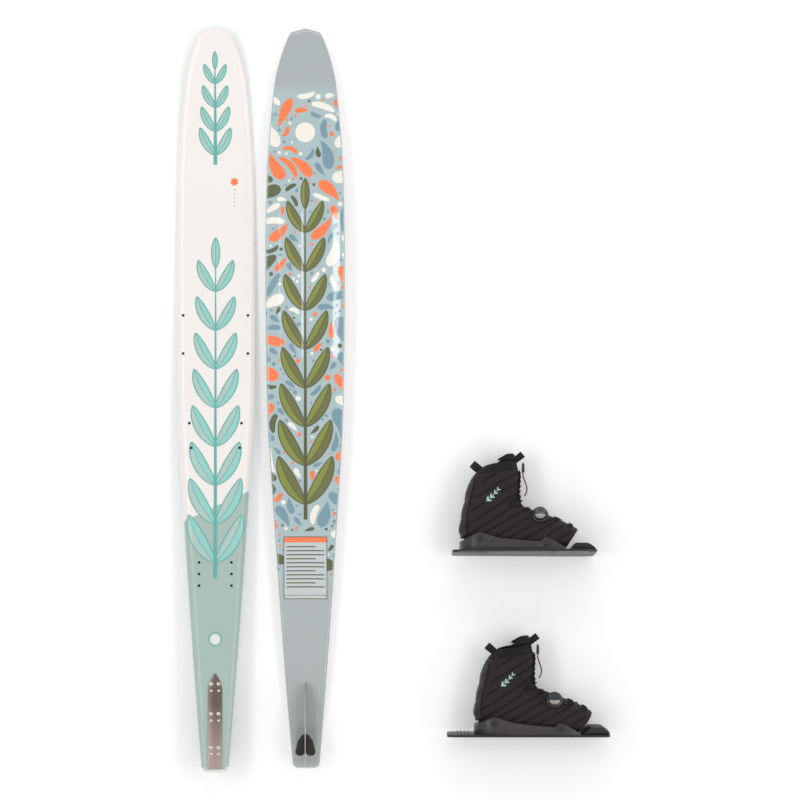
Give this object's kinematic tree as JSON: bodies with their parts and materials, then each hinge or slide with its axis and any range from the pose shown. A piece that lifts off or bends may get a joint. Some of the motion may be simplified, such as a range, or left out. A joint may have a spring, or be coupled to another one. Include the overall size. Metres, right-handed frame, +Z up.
{
  "type": "water ski pair",
  "caption": "Slalom water skis with finned tails, one deck up and one base up, laid flat beside front and rear open-toe lace boots on their mounting plates",
  "frame": {"origin": "middle of the overall box's footprint, on the surface the four items lie on", "axes": "+Y from the ski tails to the ski tips, +X from the skis to the boots, +Z up off the surface"},
  "size_m": [0.9642, 1.6518, 0.1581],
  "materials": {
    "foam_core": "closed-cell foam, matt",
    "deck_laminate": "gloss-coated laminate, off-white with a mint plant pattern",
    "base_laminate": "gloss-coated laminate, pale blue-grey with plant and drop pattern",
    "insert_alloy": "bare aluminium",
    "brushed_steel": "brushed stainless steel",
    "fin_alloy": "anodised aluminium",
    "wing_black": "moulded black plastic",
    "plate_black": "black anodised plate",
    "chassis_grey": "moulded grey plastic",
    "shell_fabric": "coated woven fabric with moulded grooves",
    "liner_foam": "black lining fabric over foam",
    "footbed_foam": "moulded foam",
    "rubber": "soft black rubber",
    "webbing": "woven black webbing",
    "dial_black": "gloss black plastic",
    "dial_metal": "gloss black knob with a silver half",
    "cord": "braided black cord",
    "bolt_steel": "darkened steel"
  },
  "bodies": {
    "left_ski": {"left_ski_core": "foam_core", "left_ski_top_skin": "deck_laminate", "left_ski_base_skin": "base_laminate", "left_ski_insert_plate": "insert_alloy", "left_ski_fin_frame": "brushed_steel"},
    "left_fin": {"left_ski_fin": "fin_alloy"},
    "left_wing": {"left_ski_wing": "wing_black"},
    "right_ski": {"right_ski_core": "foam_core", "right_ski_top_skin": "deck_laminate", "right_ski_base_skin": "base_laminate", "right_ski_insert_plate": "insert_alloy", "right_ski_fin_frame": "brushed_steel"},
    "right_fin": {"right_ski_fin": "fin_alloy"},
    "right_wing": {"right_ski_wing": "wing_black"},
    "front_boot": {"front_boot_base_plate": "plate_black", "front_boot_chassis": "chassis_grey", "front_boot_upper": "shell_fabric", "front_boot_liner": "liner_foam", "front_boot_footbed": "footbed_foam", "front_boot_toe_pad": "rubber", "front_boot_instep_gusset": "liner_foam", "front_boot_heel_stay": "rubber", "front_boot_heel_loop": "webbing", "front_boot_dial_base": "dial_black", "front_boot_instep_cable": "cord", "front_boot_heel_bolt_dial_side": "bolt_steel", "front_boot_heel_bolt_far_side": "bolt_steel", "front_boot_toe_bolt_dial_side": "bolt_steel", "front_boot_toe_bolt_far_side": "bolt_steel"},
    "front_tongue": {"front_boot_tongue": "liner_foam", "front_boot_tongue_loop": "webbing", "front_boot_ankle_lace": "cord"},
    "front_cord_lock": {"front_boot_cord_lock": "rubber"},
    "front_lock_button": {"front_boot_cord_lock_button": "rubber"},
    "front_dial_hub": {"front_boot_dial_hub": "dial_metal"},
    "front_dial_knob": {"front_boot_dial_knob": "dial_metal"},
    "rear_boot": {"rear_boot_base_plate": "plate_black", "rear_boot_chassis": "chassis_grey", "rear_boot_upper": "shell_fabric", "rear_boot_liner": "liner_foam", "rear_boot_footbed": "footbed_foam", "rear_boot_toe_pad": "rubber", "rear_boot_instep_gusset": "liner_foam", "rear_boot_heel_stay": "rubber", "rear_boot_heel_loop": "webbing", "rear_boot_dial_base": "dial_black", "rear_boot_instep_cable": "cord", "rear_boot_heel_bolt_dial_side": "bolt_steel", "rear_boot_heel_bolt_far_side": "bolt_steel", "rear_boot_toe_bolt_dial_side": "bolt_steel", "rear_boot_toe_bolt_far_side": "bolt_steel"},
    "rear_tongue": {"rear_boot_tongue": "liner_foam", "rear_boot_tongue_loop": "webbing", "rear_boot_ankle_lace": "cord"},
    "rear_cord_lock": {"rear_boot_cord_lock": "rubber"},
    "rear_lock_button": {"rear_boot_cord_lock_button": "rubber"},
    "rear_dial_hub": {"rear_boot_dial_hub": "dial_metal"},
    "rear_dial_knob": {"rear_boot_dial_knob": "dial_metal"}
  },
  "joints": [
    {"name": "left_ski_lift", "type": "slide", "parent": "right_ski", "child": "left_ski", "axis": [0, 0, 1], "range_m": [0, 0.25]},
    {"name": "left_fin_shift", "type": "slide", "parent": "left_ski", "child": "left_fin", "axis": [0, 0.9984, -0.056], "range_m": [-0.005, 0.005]},
    {"name": "left_wing_angle", "type": "hinge", "parent": "left_fin", "child": "left_wing", "pos_m": [-0.39372, -0.7622, 0.02284], "axis": [1, 0, 0], "range_deg": [-6, 6]},
    {"name": "right_fin_shift", "type": "slide", "parent": "right_ski", "child": "right_fin", "axis": [0, 0.9997, 0.024], "range_m": [-0.005, 0.005]},
    {"name": "right_wing_angle", "type": "hinge", "parent": "right_fin", "child": "right_wing", "pos_m": [-0.19352, -0.76095, 0.05696], "axis": [-1, 0, 0], "range_deg": [-6, 6]},
    {"name": "front_boot_lift", "type": "slide", "parent": "right_ski", "child": "front_boot", "axis": [0, 0, 1], "range_m": [0, 0.25]},
    {"name": "front_tongue_flex", "type": "hinge", "parent": "front_boot", "child": "front_tongue", "pos_m": [0.28909, -0.23137, 0.06171], "axis": [0, -0.1635, -0.9865], "range_deg": [0, 14]},
    {"name": "front_cord_lock_slide", "type": "slide", "parent": "front_tongue", "child": "front_cord_lock", "axis": [0, 0.9865, -0.1635], "range_m": [-0.012, 0.004]},
    {"name": "front_lock_button_press", "type": "slide", "parent": "front_cord_lock", "child": "front_lock_button", "axis": [0, -0.9865, 0.1635], "range_m": [0, 0.0025], "stiffness_N_per_m": 120, "springref_m": -0.001},
    {"name": "front_dial_pull", "type": "slide", "parent": "front_boot", "child": "front_dial_hub", "axis": [0, 0.4911, 0.8711], "range_m": [0, 0.0025]},
    {"name": "front_dial_spin", "type": "hinge", "parent": "front_dial_hub", "child": "front_dial_knob", "pos_m": [0.32498, -0.24863, 0.1112], "axis": [0, 0.4911, 0.8711], "continuous": true},
    {"name": "rear_boot_lift", "type": "slide", "parent": "right_ski", "child": "rear_boot", "axis": [0, 0, 1], "range_m": [0, 0.25]},
    {"name": "rear_tongue_flex", "type": "hinge", "parent": "rear_boot", "child": "rear_tongue", "pos_m": [0.32219, -0.63663, 0.05523], "axis": [0, -0.0592, -0.9982], "range_deg": [0, 14]},
    {"name": "rear_cord_lock_slide", "type": "slide", "parent": "rear_tongue", "child": "rear_cord_lock", "axis": [0, 0.9982, -0.0592], "range_m": [-0.012, 0.004]},
    {"name": "rear_lock_button_press", "type": "slide", "parent": "rear_cord_lock", "child": "rear_lock_button", "axis": [0, -0.9982, 0.0592], "range_m": [0, 0.0025], "stiffness_N_per_m": 120, "springref_m": -0.001},
    {"name": "rear_dial_pull", "type": "slide", "parent": "rear_boot", "child": "rear_dial_hub", "axis": [0, 0.397, 0.9178], "range_m": [0, 0.0025]},
    {"name": "rear_dial_spin", "type": "hinge", "parent": "rear_dial_hub", "child": "rear_dial_knob", "pos_m": [0.35808, -0.65899, 0.10263], "axis": [0, 0.397, 0.9178], "continuous": true}
  ]
}
